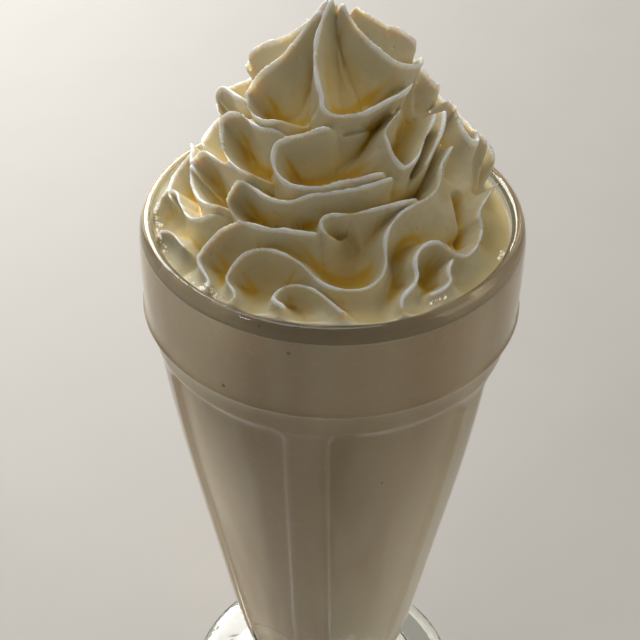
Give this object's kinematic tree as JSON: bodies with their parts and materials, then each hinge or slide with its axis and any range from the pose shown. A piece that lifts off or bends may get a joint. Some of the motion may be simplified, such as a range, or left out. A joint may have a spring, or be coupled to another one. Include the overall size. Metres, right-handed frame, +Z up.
{
  "type": "vanilla milkshake in a footed glass",
  "caption": "Tall footed soda glass with flat panels and a smooth band under the rim, full of vanilla milkshake and topped with a piped swirl of whipped cream.",
  "frame": {"origin": "middle of the foot, on the surface that the glass stands on", "axes": "+Z up through the middle of the rim, -Y towards the front"},
  "size_m": [0.0928, 0.0928, 0.244],
  "materials": {
    "glass": "clear pressed glass, fire polished, slightly green at the edges",
    "milkshake": "smooth pale ivory ice cream drink with fine froth, stands for food",
    "whipped_cream": "satin whipped cream, ivory, translucent at thin edges, stands for food"
  },
  "bodies": {
    "root": {"glass": "glass", "milkshake": "milkshake", "whipped_cream": "whipped_cream"}
  },
  "joints": []
}
